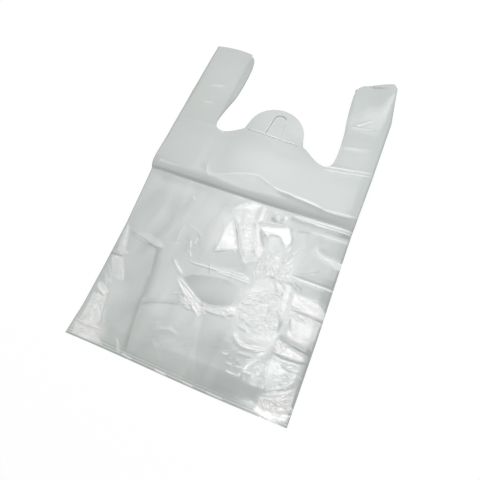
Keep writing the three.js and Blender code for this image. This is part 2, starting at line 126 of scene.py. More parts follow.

# Creases of the front film: line of the crest as x, y, x, y and so on, its height, how far its left and
# right sides reach, seen along the line, and how much the crest has whitened and is painted as a highlight;
# where negative, painted shade beside the crease
CREASES = [
    # crest of the storage fold, its side crease and the pleats below the valley
    ([-56, 272, -35, 282, -20, 287, -5, 291, 5, 290, 20, 284, 35, 279], 0.35, 10, 5, 0.6),
    ([20, 284, 35, 279, 50, 278, 65, 277, 80, 276, 92, 274, 100, 271, 110, 271, 150, 275], 0.5, 12, 5, 2.6),
    ([50, 276.6, 65, 275.6, 80, 274.6, 95, 272.2, 112, 269.6, 148, 273.4], 0.15, 1.2, 1.2, 2),
    ([-75, 287, -71, 276, -68, 270, -60, 265], 0.3, 4, 7, 0.15),
    ([46, 250, 62, 250.5, 100, 250, 152, 252], 0.7, 6, 7, 0),
    ([60, 252.5, 80, 253.5, 110, 255, 152, 256], 0.2, 1.4, 1.4, 1.5),
    ([66, 251, 85, 250.8, 115, 251, 152, 251.5], 0.2, 1.4, 1.4, 1.2),
    ([92, 237, 110, 238.5, 130, 239, 152, 238.5], 0.4, 4, 10, 0.6),
    ([76, 231, 88, 235, 98, 236], 0.2, 3, 3, -0.25),
    # crumpled middle
    ([-9, 221, -5, 215, 1, 208, 7, 198, 12, 187, 20, 176, 28, 167], 0.6, 6, 4, -0.3),
    ([-7, 221.5, -3, 215.5, 3, 208, 9, 198, 14, 187, 22, 176, 29, 169], 0.2, 2, 2, 0.5),
    ([-19, 218, -15, 205, -13, 192, -12, 178, -16, 166], 0.3, 3, 5, 0.6),
    ([-18, 167, -8, 172, 0, 176, 8, 181, 14, 182], 0.5, 6, 3, 0.8),
    ([23, 228, 27, 214, 33, 198, 38, 186], 0.4, 4, 6, 0.4),
    ([29, 222, 34, 211, 40, 201, 46, 191], 0.4, 3, 4, 0.5),
    ([24, 225, 35, 230, 48, 232, 60, 233, 75, 232], 0.4, 4, 5, -0.35),
    ([24, 227, 35, 232, 48, 234, 60, 235], 0.2, 2, 2, 0.6),
    ([23, 251, 22, 240, 23, 228], 0.4, 3, 5, 0.5),
    ([32, 251, 32, 240, 33, 231], 0.4, 5, 3, 0.3),
    ([66, 234, 77, 216, 71, 205], 0.4, 4, 12, 0.3),
    ([30, 221, 40, 216, 44, 212, 49, 218, 61, 218, 66, 213, 72, 204], 0.1, 3, 2, 0.2),
    ([-36, 234, -10, 232, 18, 234], 0.2, 8, 6, 0.1),
    ([-14, 238, -4, 246, 6, 251], 0.3, 8, 3, 0.25),
    ([2, 240, 6, 226, 9, 214], 0.2, 3, 5, 0.15),
    ([14, 196, 20, 199, 30, 201], 0.25, 3, 3, 0.5),
    ([16, 190, 22, 190, 30, 194], 0.25, 3, 3, 0.5),
    ([18, 184, 24, 183, 32, 186], 0.25, 3, 3, 0.5),
    ([42, 162, 48, 155, 52, 148], 0.2, 2, 2, 0.9),
    ([50, 170, 53, 167, 59, 155], 0.2, 2, 2, 0.9),
    ([56, 178, 58, 166, 62, 154], 0.2, 2, 2, 0.7),
    ([61, 177, 67, 168, 75, 161], 0.3, 2, 3, 1),
    ([64, 171, 68, 165, 73, 160], 0.2, 2, 2, 0.9),
    ([58, 158, 66, 163.5, 75, 161, 86, 163, 97, 164, 104, 162], 0.4, 3, 5, 0.9),
    ([68, 193, 77, 184, 87, 170], 0.25, 3, 3, 0.7),
    ([57, 193, 60, 189, 64, 184], 0.2, 2, 2, 0.8),
    ([76, 180, 77, 172, 76, 163], 0.2, 2, 2, 0.7),
    ([90, 180, 84, 170, 78, 163], 0.2, 2, 2, 0.6),
    ([76, 162, 86, 157, 92, 150], 0.2, 2, 2, 0.7),
    ([74, 160, 77, 152, 82, 144], 0.2, 2, 2, 0.6),
    ([96, 164, 104, 158, 112, 156], 0.3, 3, 4, 0.8),
    # hollow in the middle and the long crease round it
    ([-44, 146, -34, 143.5, -20, 144.5, 0, 145, 20, 146.5, 48, 146], 0.5, 5, 2.5, 1.6),
    ([-6, 142.5, 10, 143, 28, 143, 48, 142.5], 0.3, 1.6, 1.6, 1.2),
    ([-14, 150, -10, 142, -7, 135], 0.2, 2, 2, -0.2),
    ([20, 150, 20, 142, 21, 139], 0.2, 2, 2, -0.2),
    ([-47, 120, -40, 116, -28, 110, -17, 103, -7, 98, 1, 93], 0.4, 3, 3, 1.4),
    ([-44, 114, -34, 106, -24, 99, -14, 93, -6, 86, 0, 80], 0.25, 2, 3, 0.9),
    ([-40, 113, -30, 107, -20, 101, -10, 96, -2, 91], 0.2, 2, 2, 0.8),
    ([-34, 108, -24, 102, -12, 95, -2, 87], 0.2, 2, 2, 0.9),
    ([-24, 96, -15, 91, -7, 84], 0.3, 2.5, 4, 0.5),
    ([-63, 141, -52, 131, -40, 123], 0.3, 3, 3, 0.5),
    ([-58, 134, -50, 127, -42, 122], 0.2, 2, 2, 0.3),
    ([-45, 95, -36, 99, -27, 101], 0.15, 3, 3, 0.35),
    ([-30, 86, -20, 89, -10, 91], 0.15, 3, 3, 0.4),
    ([0, 91, 12, 90, 24, 90.5, 34, 93, 44, 98], 0.25, 8, 2, 0.5),
    ([2, 97, 12, 98, 24, 101, 34, 106, 44, 116, 50, 128], 0.3, 3, 9, 0.15),
    ([30, 100, 36, 97, 42, 96], 0.15, 2, 2, 0.5),
    ([0, 94, 4, 88, 5, 82], 0.2, 2, 2, 0.6),
    ([4, 84, 3, 70, 7, 55, 10, 38, 14, 22, 20, 12, 34, 0], 0.15, 8, 6, 0),
    ([-73, 68, -66, 73.5, -55, 78, -40, 83, -26, 86], 0.2, 8, 2, 0),
    ([-44, 34, -30, 22, -18, 9], 0.2, 5, 5, 0.1),
    ([-44, 46, -34, 48, -26, 51, -14, 48], 0.2, 4, 4, 0.2),
    # creases over the right gusset fold
    ([49, 77, 55, 71, 63, 65, 74, 64.5, 86, 67, 98, 70], 0.35, 4, 5, 1.4),
    ([62, 55, 74, 56, 86, 58], 0.2, 3, 3, 0.3),
    ([76, 36, 84, 37, 92, 36], 0.2, 3, 3, 0.4),
    ([53, 99, 64, 93, 72, 93], 0.2, 3, 3, 0.5),
    ([60, 133, 72, 137, 82, 145], 0.25, 3, 3, 0.5),
    ([50, 122, 62, 127, 76, 128], 0.25, 3, 3, 0.4),
    ([84, 122, 92, 117, 99, 106, 99, 97], 0.5, 5, 6, 0.4),
    ([107, 221, 116, 213, 130, 209, 150, 209], 0.5, 7, 9, 0.3),
    ([88, 170.5, 110, 170, 130, 170, 152, 169.5], 0.4, 2.5, 4, 2),
    ([92, 175, 104, 178, 114, 183, 124, 190], 0.25, 3, 3, -0.2),
    ([104, 135, 125, 132, 152, 131], 0.5, 14, 2, 0.3),
    ([106, 131, 125, 131, 152, 130], 0.25, 1.8, 2, 0.8),
    ([106, 125.5, 125, 125.5, 152, 124], 0.3, 2, 2.4, 0.8),
    ([102, 91, 112, 90, 125, 87, 152, 84], 0.7, 26, 3, 0),
    ([106, 88, 114, 83.5, 125, 81.5, 142, 79], 0.3, 2, 3, 0.6),
    ([114, 100, 125, 97, 140, 101], 0.25, 3, 4, 0.4),
    ([104, 71, 120, 70.5, 148, 72], 0.5, 12, 3, -0.3),
    ([112, 120.5, 128, 120, 148, 119], 0.2, 2, 2, 0.7),
    ([110, 118, 112, 110, 115, 101], 0.3, 2, 3, -0.3),
    ([106, 149, 116, 143, 130, 139], 0.2, 2, 3, 0.4),
    ([106, 139, 122, 137.5, 146, 136], 0.2, 2, 2, 0.5),
    ([108, 86, 112, 80, 118, 76], 0.25, 2, 2, 0.7),
    ([118, 62, 130, 58, 146, 61], 0.2, 4, 4, 0.3),
    # fan in the lower right corner
    ([108, 24, 118, 29, 130, 36, 143, 50], 0.4, 4, 5, 0.5),
    ([106, 20, 118, 23, 132, 29, 146, 40], 0.4, 3, 3, 0.7),
    ([108, 15, 122, 18, 136, 23, 148, 31], 0.35, 3, 3, 0.7),
    ([106, 9, 126, 9, 148, 14], 0.35, 3, 4, 0.6),
    ([112, 32, 116, 18, 124, 4], 0.35, 3, 3, 0.6),
    ([124, 30, 128, 18, 136, 4], 0.35, 3, 3, 0.6),
    ([136, 34, 140, 22, 146, 10], 0.35, 3, 3, 0.5),
    # left side
    ([-134, 157, -120, 153.5, -105, 149.5, -95, 147, -81, 147], 0.5, 10, 3, 0),
    ([-84, 158, -74, 159, -66, 161], 0.2, 4, 4, 0.15),
    ([-66, 193, -60, 190, -52, 189, -43, 185, -38, 179], 0.2, 5, 2, 0.3),
    ([-67, 192, -70, 175, -66, 155], 0.12, 5, 5, 0.1),
    ([-52, 182, -50, 165, -48, 148], 0.12, 7, 6, 0.1),
    ([-76, 230, -74, 235, -71, 228], 0.2, 2, 2, 0.35),
    ([-143, 167, -140, 155, -137, 140, -134, 128], 0.4, 3, 5, 0.6),
    ([-132, 128, -127, 126, -122, 125], 0.2, 2, 2, 0.6),
    ([-150, 120, -138, 118.5, -126, 118], 0.4, 2.5, 5, 0),
    ([-121, 104, -116, 96, -112, 86], 0.3, 3, 4, 0.5),
    ([-142, 104, -134, 93, -126, 84], 0.25, 3, 3, 0.4),
    ([-144, 92, -136, 84, -128, 72], 0.3, 4, 4, 0.2),
    ([-140, 77, -130, 72, -121, 64], 0.4, 3, 5, 0.8),
    ([-138, 69, -130, 63, -121, 60], 0.25, 3, 3, 0.6),
    ([-136, 58, -132, 44, -128, 26], 0.4, 6, 6, 0.3),
    ([-118, 52, -114, 36, -108, 20], 0.3, 4, 4, 0.15),
    ([-148, 20.5, -130, 19.5, -106, 20], 0.35, 2, 3, 0.7),
    ([-146, 17, -130, 16.5, -116, 17], 0.2, 2, 2, -0.3),
    ([-138, 14, -122, 10, -108, 4], 0.3, 4, 5, 0.3),
    ([-84, 15, -79, 10, -75, 3], 0.3, 3, 3, 0.5),
    ([-71, 3, -62, 1.6, -54, 0.8], 0.1, 2, 2, 1),
    ([-24, 0.5, -16, -0.3, -6, -0.8], 0.1, 2, 2, 1.2),
    ([12, 0, 20, -0.6, 30, -1.6], 0.1, 2, 2, 0.8),
    ([44, -0.6, 58, -1.4, 70, -1.8], 0.1, 2, 2, 0.8),
    # beside the tear line and the slit of the tab
    ([-46, 362.8, -15, 361.2, 14, 359.6, 42, 358.2], 0.12, 1.2, 1.2, 0.6),
    ([-17.4, 364, -14.4, 389], 0.12, 1.2, 1.2, 0.6),
    # feet of the handles and small creases in them
    ([80, 337, 98, 340, 120, 343, 150, 348], 0.5, 4, 3, 1.2),
    ([80, 332, 100, 334, 130, 339, 150, 342], 0.5, 3, 3, 1),
    ([-150, 344, -125, 346, -84, 351], 0.3, 5, 6, 0.08),
    ([-86, 350, -80, 346, -74, 343], 0.3, 4, 4, 0.5),
    ([-128, 419, -118, 421, -106, 425], 0.3, 3, 3, 0.45),
    ([-126, 386, -117, 388, -110, 389], 0.25, 3, 3, 0.35),
    ([103, 419, 110, 423, 118, 430, 126, 434], 0.4, 3, 3, 1.8),
    ([96, 415, 112, 417, 134, 422], 0.25, 4, 4, 0.3),
    ([94, 377, 115, 381, 140, 386], 0.25, 4, 4, 0.25),
]
# Short creases scattered over the crumpled areas: middle, reach across and along, count, mean direction in
# degrees and its spread, and the deepest of them
SCATTERED = [
    (72, 112, 22, 40, 62, 16, 20, 0.13), (90, 118, 10, 30, 16, 40, 50, 0.16),
    (72, 50, 22, 22, 18, 10, 25, 0.08), (128, 12, 20, 12, 60, 40, 60, 0.3),
    (130, 30, 16, 12, 18, 35, 15, 0.2), (18, 205, 22, 26, 12, 60, 40, 0.15),
    (-12, 92, 20, 8, 26, -38, 12, 0.2), (34, 97, 10, 6, 12, 25, 25, 0.12),
    (68, 172, 30, 14, 30, 65, 28, 0.16), (-130, 40, 9, 34, 20, 75, 40, 0.14),
    (-128, 12, 18, 8, 14, 10, 40, 0.2), (126, 140, 20, 8, 8, -3, 6, 0.12),
    (124, 124, 18, 3, 7, -2, 4, 0.12), (114, 79, 8, 5, 10, -45, 12, 0.15),
    (130, 76, 14, 4, 6, -8, 10, 0.12), (126, 56, 18, 12, 5, 10, 20, 0.1),
    (-46, 168, 14, 20, 5, 70, 40, 0.06), (-138, 146, 5, 22, 5, 75, 10, 0.12),
    (84, 200, 14, 20, 6, 70, 30, 0.1),
]
SCATTER_SEED = 11
SCATTER_LENGTH, SCATTER_REACH, SCATTER_BEND = (6, 18), (1.2, 2.6), 0.2
# ranges of their depth, and of their whitening and painted highlight; painted shade where negative
SCATTER_DEPTH, SCATTER_WHITE = (0.3, 1), (-0.2, 0.85)
BLISTER = (48, 243, 9, 9, 1.2)  # middle, reach across and along, and height

# Crumpled areas: middle, reach across and along, height of the wrinkles
CRUMPLES = [
    (74, 118, 30, 42, 0.26), (74, 54, 28, 26, 0.09), (128, 14, 24, 20, 0.4), (22, 206, 34, 34, 0.35),
    (-12, 94, 26, 12, 0.5), (68, 168, 30, 18, 0.4), (-132, 40, 14, 40, 0.45), (126, 138, 26, 20, 0.2),
    (126, 78, 24, 12, 0.3), (-36, 44, 28, 26, 0.2), (124, 222, 26, 16, 0.15), (124, 54, 26, 22, 0.07),
    (-50, 170, 30, 30, 0.15), (-132, 120, 16, 44, 0.25), (20, 99, 30, 12, 0.35),
]
CALM_FILM = 0.05
CRUMPLE_SCALES = [(7.5, 17, 0.42), (4, 23, 0.2)]  # size of the facets, seed, share of the height
BROAD_SIZE, BROAD_SEED, BROAD_HEIGHT, BROAD_TONE = 17, 31, 0.4, 0.22  # faint large facets all over the body
BROAD_TURN, BROAD_START = ((0.3, 0.6), (-1.3, 0.4)), 200  # their places, turned and stretched
BROAD_END = 12  # how far below the storage fold they start
WAVE_ACROSS, WAVE_ALONG, WAVE_PLACE = 60, 45, 1.3  # slow waves of the whole film
CALM_TOP, BODY_FADE = 0.25, 10  # share of the waves above the storage fold
CALM_EDGE, CALM_WELD = 0.3, 10  # share of the relief at the folded edges, and how near a weld it fades
LEAST_RISE = 0.2
FACET_STRETCH, FACET_JITTER = 2.3, 0.42  # facets are longer across the bag
SEED_GRID, GRID_MARGIN = 0.5, 10  # square of the grid that the facets are drawn on, and squares round it
CRUMPLE_STEEPNESS, OVAL_STEEPNESS = 1.5, 1.3  # how fast an oval patch falls to its rim

# Areas of creased film that has whitened and is painted as highlights on facets that catch the light,
# and painted shade on facets and hollows where negative: x, y and amount at each corner
WHITE_SHARE = 0.9
WHITENED_AND_PAINTED_LIGHT = [
    # crumpled middle
    [(-9, 221, 0.4), (-6, 217, 0.9), (-1, 209, 0.9), (5, 198, 1), (12, 186, 1), (14, 182, 0.9),
     (6, 179, 0.9), (-4, 176, 1), (-9, 172, 0.6), (-14, 171, 0.2), (-13, 185, 0.7), (-13, 205, 0.5)],
    [(-22, 217, 0.2), (-18, 218, 0.5), (-12, 178, 0.5), (-17, 177, 0.1)],
    [(-14, 240, 0.3), (0, 250, 0.4), (21, 252, 0.45), (22, 228, 0.5), (8, 214, 0.35), (-2, 222, 0.3),
     (-14, 228, 0.25)],
    [(-3, 221, 0.2), (20, 224, 0.4), (26, 214, 0.55), (34, 195, 0.5), (30, 182, 0.5), (14, 184, 0.5),
     (6, 204, 0.35)],
    [(23, 252, 0.7), (33, 251, 0.4), (33, 232, 0.5), (24, 228, 0.8)],
    [(40, 251, 0.6), (52, 252, 0.6), (56, 243, 0.5), (50, 239, 0.3), (41, 241, 0.4)],
    [(23, 227, 0.8), (29, 222, 0.8), (36, 206, 0.75), (46, 192, 0.8), (45, 180, 0.7), (38, 184, 0.7),
     (31, 200, 0.8), (26, 214, 0.8)],
    [(13, 182, 0.3), (30, 185, 0.35), (44, 178, 0.3), (30, 166, 0.45), (22, 174, 0.4)],
    [(30, 223, 0.5), (40, 226, 0.7), (48, 227.5, 0.8), (57, 229.5, 0.75), (64, 234, 0.8), (69, 232.5, 0.75),
     (72, 227.5, 0.8), (77, 216.5, 0.6), (77, 211, 0.5), (72.5, 205, 0.6), (66, 213, 0.8),
     (63.5, 216, 0.75), (57, 218.5, 0.5), (48, 217.5, 0.7), (44.5, 212, 0.8), (41, 215, 0.6),
     (32, 220, 0.6)],
    [(31, 219.5, -0.2), (41, 214.5, -0.24), (44, 211, -0.26), (48, 217, -0.26), (57, 218, -0.3),
     (63, 215.5, -0.3), (66, 212, -0.28), (72, 204, -0.2), (69, 196, -0.14), (62, 192, -0.1),
     (52, 198, -0.14), (44, 197.5, -0.14), (39, 201, -0.18), (33.5, 211, -0.2)],
    [(-12, 170, -0.05), (10, 178, -0.1), (28, 166, -0.1), (40, 158, -0.03), (20, 149, 0), (-10, 150, 0)],
    [(60, 230, 0.1), (90, 232, 0.15), (100, 205, 0.1), (92, 172, 0.2), (60, 172, 0.25), (70, 200, 0.1)],
    [(52, 178, 0.3), (66, 190, 0.3), (92, 186, 0.25), (94, 166, 0.35), (75, 163, 0.4), (62, 162, 0.35)],
    # right side between the folds
    [(110, 234, -0.1), (146, 236, -0.12), (147, 214, -0.14), (125, 214, -0.1), (112, 220, -0.05)],
    [(108, 221, 0.3), (116, 215, 0.4), (132, 211, 0.6), (148, 209, 0.9), (148, 200, 0.9), (141, 199, 0.8),
     (132, 206, 0.6), (118, 207, 0.3)],
    [(96, 176, -0.05), (118, 182, -0.1), (147, 184, -0.12), (147, 172, -0.12), (96, 172, -0.12)],
    [(101, 166, -0.06), (147, 167, -0.1), (147, 151, -0.12), (110, 152, -0.14), (102, 156, -0.1)],
    [(104, 150.5, 0.8), (122, 149.5, 0.95), (140, 146, 1), (148, 140, 0.9), (149, 131, 0.8),
     (125, 132, 0.9), (108, 132, 0.7)],
    [(106, 128, 0.5), (148, 126, 0.6), (148, 121, 0.5), (108, 122, 0.5)],
    [(111, 121, 0.55), (147, 120, 0.65), (147, 104, 0.5), (142, 96, 0.4), (128, 94, 0.7), (113, 98, 0.7)],
    [(106, 89, 0.8), (114, 83, 0.95), (126, 81, 0.95), (141, 79, 0.8), (143, 74, 0.6), (125, 72, 0.8),
     (108, 72, 0.7)],
    [(108, 70, 0.1), (145, 71, 0.08), (145, 52, 0.1), (108, 48, 0.02)],
    [(107, 16, 0.7), (115, 23, 0.7), (126, 26, 0.8), (139, 36, 0.6), (145, 44, 0.3), (146, 24, 0.9),
     (146, 2, 1), (124, -2, 1), (107, 0, 1), (109, 9, 0.8)],
    # crinkled film over the right gusset fold
    [(52, 150, 0.3), (70, 160, 0.35), (96, 158, 0.3), (101, 128, 0.2), (98, 98, 0.2), (60, 96, 0.15),
     (50, 120, 0.2)],
    [(56, 94, 0.15), (100, 98, 0.25), (100, 40, 0.12), (64, 30, 0.05), (50, 74, 0.2)],
    [(86, 123, 0.6), (94, 118, 0.7), (99, 106, 0.5), (98, 98, 0.3), (88, 102, 0.3)],
    [(50, 76, 0.4), (60, 68, 0.7), (72, 64, 0.6), (88, 66, 0.4), (98, 70, 0.3), (84, 68, 0.2),
     (66, 68, 0.3)],
    [(70, 52, 0.25), (94, 52, 0.2), (94, 34, 0.3), (76, 34, 0.35)],
    # round the hollow
    [(-38, 121, -0.2), (-29, 127.5, -0.24), (-15, 132, -0.26), (0, 135, -0.28), (15, 137, -0.24),
     (28, 135.5, -0.15), (37, 131, -0.08), (41, 124, -0.06), (40, 116, -0.1), (34, 108, -0.18),
     (24, 102.5, -0.25), (10, 99, -0.3), (-1, 98.5, -0.32), (-13, 103, -0.3), (-26, 110.5, -0.25),
     (-34, 117, -0.2)],
    [(-47, 119, 0.8), (-38, 113, 0.9), (-24, 105, 0.8), (-10, 98, 0.7), (0, 92, 0.9), (5, 84, 0.6),
     (0, 79, 0.9), (-8, 85, 0.9), (-18, 92, 0.7), (-30, 101, 0.8), (-42, 112, 0.8)],
    [(-1, 94, 0.5), (12, 97, 0.6), (24, 100, 0.55), (34, 105, 0.5), (42, 108, 0.4), (43, 98, 0.5),
     (34, 93, 0.5), (20, 90, 0.6), (4, 90, 0.5)],
    [(-2, 80, 0.2), (8, 80, 0.1), (10, 60, 0.12), (16, 38, 0.12), (24, 16, 0.12), (12, 16, 0.08),
     (0, 50, 0.06)],
    [(36, 106, 0.2), (44, 120, 0.25), (48, 138, 0.3), (38, 138, 0.1), (34, 120, 0.1)],
    [(-48, 44, 0.06), (-44, 55, 0.1), (-26, 56, 0.14), (-10, 50, 0.1), (-14, 38, 0.1), (-26, 30, 0.05)],
    # left side
    [(-142, 165, 0.4), (-138, 160, 0.5), (-132, 143.5, 0.5), (-128, 128, 0.5), (-123, 124.5, 0.4),
     (-131, 120, 0.3), (-139, 125, 0.4), (-142, 143, 0.4)],
    [(-142, 116, 0.45), (-126, 117, 0.5), (-121, 110, 0.5), (-112, 90, 0.5), (-113, 86, 0.4),
     (-128, 89, 0.25), (-138, 105, 0.5)],
    [(-140, 96, 0.15), (-126, 86, 0.15), (-122, 78, 0.05), (-132, 80, 0.25), (-142, 88, 0.1)],
    [(-141, 76, 0.8), (-131, 72.5, 1), (-122, 64.5, 1), (-127, 62, 0.8), (-135, 65, 0.8), (-141, 70, 0.7)],
    [(-141, 60, 0.6), (-122, 60, 0.8), (-119, 45, 0.5), (-114, 30, 0.5), (-118, 22, 0.9), (-128, 22, 1),
     (-141, 22, 0.6), (-140, 42, 0.8)],
    [(-144, 18, 0.7), (-120, 18.5, 0.8), (-110, 12, 0.8), (-99, 4, 0.6), (-120, 2.5, 1), (-142, 3, 0.8)],
    [(-86, 18, 0.4), (-82, 17, 0.5), (-73, 3, 0.4), (-77, 2, 0.4)],
    [(-128, 156, 0.05), (-108, 161, 0.2), (-90, 157, 0.3), (-81, 149, 0.3), (-100, 150, 0.3),
     (-112, 153, 0.2)],
]
# Painted shade beside creases and along the edges, as lines like those, with a soft reach to their left and
# right and an amount of tone
SHADES = [
    ([-90, 150, -83, 120, -79, 100, -77.5, 74], 13, 1.2, -0.26),
    ([-81, 112, -77.5, 85, -76.7, 68, -75, 53, -73, 40, -70, 20, -66, 3], 1.6, 7, -0.19),
    ([-75, 66, -66, 73.5, -55, 78, -40, 83, -24, 86], 7, 1.2, -0.15),
    ([-134, 157, -120, 153.5, -105, 149.5, -95, 147, -81, 147], 0.6, 9, -0.14),
    ([-104, 148.5, -92, 145.5, -80, 146], 1.2, 2.5, -0.2),
    ([-152, 119, -138, 118, -126, 118], 2, 4, -0.3),
    ([102, 92, 112, 90.5, 125, 88, 152, 84], 8, 1.6, -0.45),
    ([124, 88.5, 152, 84], 4, 5, -0.25),
    ([106, 129, 122, 128.3, 152, 127], 1.6, 1.6, -0.5),
    ([100, 114, 102, 100, 104, 90, 104, 70, 106, 50, 108, 28], 1.6, 3, -0.2),
    ([60, 250, 100, 250, 152, 250.5], 0.9, 9, -0.38),
    ([112, 246, 152, 247], 4, 5, -0.22),
    ([88, 172.5, 110, 172.5, 152, 172], 4, 1, -0.24),
    ([151, 0, 151, 92], 9, 3, -0.45),
    ([149, 88, 149, 168], 4, 3, -0.3),
    ([149, 160, 149, 264], 6, 3, -0.3),
    ([-151, 0, -148, 60, -148, 165, -150, 220, -154, 255], 3, 4, -0.35),
    ([-154, 258, -150, 330, -148, 420, -147, 495], 3, 3, -0.25),
    ([38, 240, 42, 235.5, 50, 233.5, 58, 236], 6, 1.2, -0.28),
    ([36, 0, 40, 60, 44, 120, 47, 160], 14, 3, -0.06),
    ([46, 20, 76, 24, 92, 24, 106, 18], 14, 26, -0.06),
    ([100, 71.5, 120, 71, 150, 72.5], 1, 1.5, -0.3),
]
# Broad tones of the film, partly uneven haze and partly painted light and shade: painted shade along the
# storage fold's valley and the foot, painted highlights along its crest and in the lower corners: middle,
# reach across and along, amount
HAZE_AND_PAINTED_LIGHT = [
    (-100, 250, 60, 8, -0.08), (80, 262, 90, 8, -0.08), (-60, 4, 120, 14, -0.1), (60, 4, 60, 14, -0.1),
    (30, 215, 60, 50, 0.05), (-40, 205, 50, 44, 0.1), (0, 330, 70, 60, 0.08), (-90, 235, 60, 30, 0.1),
    (0, 385, 60, 50, 0.16), (-115, 430, 40, 90, 0.05), (10, 12, 60, 20, -0.06), (128, 12, 26, 22, 0.35),
    (-110, 20, 14, 14, 0.2), (-124, 12, 34, 20, 0.35), (-110, 300, 60, 60, 0.06), (60, 268, 70, 8, 0.12),
    (-60, 269, 60, 9, 0.1), (104, 266, 40, 5, 0.1), (-96, 238, 50, 14, 0.08), (118, 365, 34, 40, 0.1),
    (44, 375, 22, 24, 0.1), (30, 385, 20, 24, 0.08), (30, 346, 40, 12, 0.06),
]
FILM_TONE = 0.3  # plain film, on a scale from the dark of a single fold's painted shade to white
STRIP_TONE, STRIP_EDGE, STRIP_FADE = -0.14, 2, 30  # where the handles have no gusset leaves behind them: fewer layers, and painted shade where the film slopes down
RIM_SHADE, RIM_WIDTH = -0.3, 1.3  # painted shade along the folded edges, where the film curves down
# Thin lines along the foot: height, width and amount; the first, at the foot's edge, is painted shade, the
# rest light and dark lines along the weld
FOOT_LINES = [(0, 1.6, -0.9), (3, 0.6, 0.25), (4.5, 0.5, -0.3), (6, 0.5, 0.2), (7.5, 0.6, -0.2)]
TONE_EDGE, TONE_MOTTLE = 1.8, 0.6  # soft edge of an area of whitening and painted light or shade, and how uneven it is

# Finish of the film: colours from dark painted shade through the plain film to the white of whitening and
# painted highlights, and the wrinkles finer than the mesh
FILM_DARK, FILM_PLAIN, FILM_WHITE = (0.43, 0.46, 0.44), (0.612, 0.648, 0.624), (0.97, 0.965, 0.94)
FILM_ROUGHNESS, FILM_IOR = 0.15, 1.7
STREAK_TURN, STREAK_LENGTH = 0.3, 3.2  # direction in radians, and how many times longer than wide
WARP_SCALE, WARP_DETAIL, WARP_REACH = 90, 2, 0.006
CELLS = [(230, 0.2), (520, 0.14)]  # cells to a metre, and the slope of their tilt
CELL_SHADE_MIDDLE, CELL_SHADE_SHARE = 0.85, 0.22  # painted light and shade that the cells add to the tone, lighter towards their rims

# Studio: a floor that glows for the camera, lamps in metres in the CAD frame, and the camera
FLOOR_SIZE, FLOOR_BELOW, FLOOR_PAINT, FLOOR_ROUGHNESS = 12, 0.0004, 0.93, 0.9
FLOOR_GLOW, FLOOR_GLOW_SHARE = 1.03, 0.88
WORLD_LIGHT = 0.38
SOFTBOX, SOFTBOX_SIZE, SOFTBOX_RADIANCE = (-0.17, 0.70, 1.6), (0.56, 1.4), 2.0
SOFTBOX_COLOUR = (1, 0.97, 1.03)
BORDER_WIDTH, BORDER_RADIANCES = 0.08, (1.7, 1.3, 0.9, 0.5)  # strips on its left that end it softly
CORES = [
    ("core_right", (0.12, 0.22, 1.58), (0.26, 0.28), 2.6),
    ("core_middle", (-0.27, 0.60, 1.58), (0.12, 0.12), 10),
    ("core_crinkle", (-0.12, 0.25, 1.58), (0.08, 0.08), 14),
    ("core_corner", (0.07, -0.11, 1.58), (0.14, 0.14), 13),
    ("core_left", (-0.87, 0.02, 1.58), (0.1, 0.16), 6),
]
CAMERA_PLACE = (149.76, -32.26, 625.26)
CAMERA_RIGHT, CAMERA_UP = (0.92528, 0.37292, -0.06925), (-0.31981, 0.86521, 0.38617)
CAMERA_LENS, CAMERA_SENSOR = 38.08, 36
MM_PER_M = 1000


def smooth(t):
    t = np.clip(t, 0, 1)
    return t * t * (3 - 2 * t)


def along(pairs, place):
    return np.interp(place, [p for p, _ in pairs], [v for _, v in pairs])


# Distance of places from a line of points, positive on its left, with the share of the way along it
def line_distance(x, y, points):
    points = np.array(points, float)
    runs = np.diff(points, axis=0)
    lengths = np.hypot(runs[:, 0], runs[:, 1])
    starts = np.concatenate([[0], np.cumsum(lengths)])
    best = np.full(x.shape, np.inf)
    side = np.zeros(x.shape)
    share = np.zeros(x.shape)
    for start, run, length, before in zip(points, runs, lengths, starts):
        dx, dy = x - start[0], y - start[1]
        t = np.clip((dx * run[0] + dy * run[1]) / length**2, 0, 1)
        distance = np.hypot(dx - t * run[0], dy - t * run[1])
        nearer = distance < best
        best = np.where(nearer, distance, best)
        side = np.where(nearer, np.sign(run[0] * dy - run[1] * dx), side)
        share = np.where(nearer, (before + t * length) / starts[-1], share)
    return np.where(side < 0, -best, best), share


# A line given as a run of x and y or as points, with its corners cut once
def rounded(line):
    points = np.array(line, float).reshape(-1, 2)
    cut = [points[0]]
    for a, b in zip(points, points[1:]):
        cut += [0.75 * a + 0.25 * b, 0.25 * a + 0.75 * b]
    cut.append(points[-1])
    return np.array(cut)


def resampled(points, step):
    lengths = np.concatenate([[0], np.cumsum(np.hypot(*np.diff(points, axis=0).T))])
    at = np.linspace(0, lengths[-1], max(2, round(lengths[-1] / step)) + 1)
    return np.stack([np.interp(at, lengths, points[:, 0]), np.interp(at, lengths, points[:, 1])], 1)


def near_line(x, y, points, reach):
    low, high = points.min(axis=0) - reach, points.max(axis=0) + reach
    return (x > low[0]) & (x < high[0]) & (y > low[1]) & (y < high[1])


# Places near a line of points: which they are, how far beside it, and how it fades towards its ends
def beside_line(x, y, points, reach, ends):
    line = rounded(points)
    near = near_line(x, y, line, reach)
    distance, share = line_distance(x[near], y[near], line)
    return near, distance, smooth(np.minimum(share, 1 - share) / ends)


# 1 on a line, falling to 0 at its reach on either side
def falling(distance, left, right):
    return 1 - np.abs(distance) / np.where(distance > 0, left, right)


# 1 in the middle of an oval patch, falling to 0 at its reach
def oval(x, y, patch, steepness):
    cx, cy, across, up = patch
    return smooth(steepness - steepness * np.hypot((x - cx) / across, (y - cy) / up))


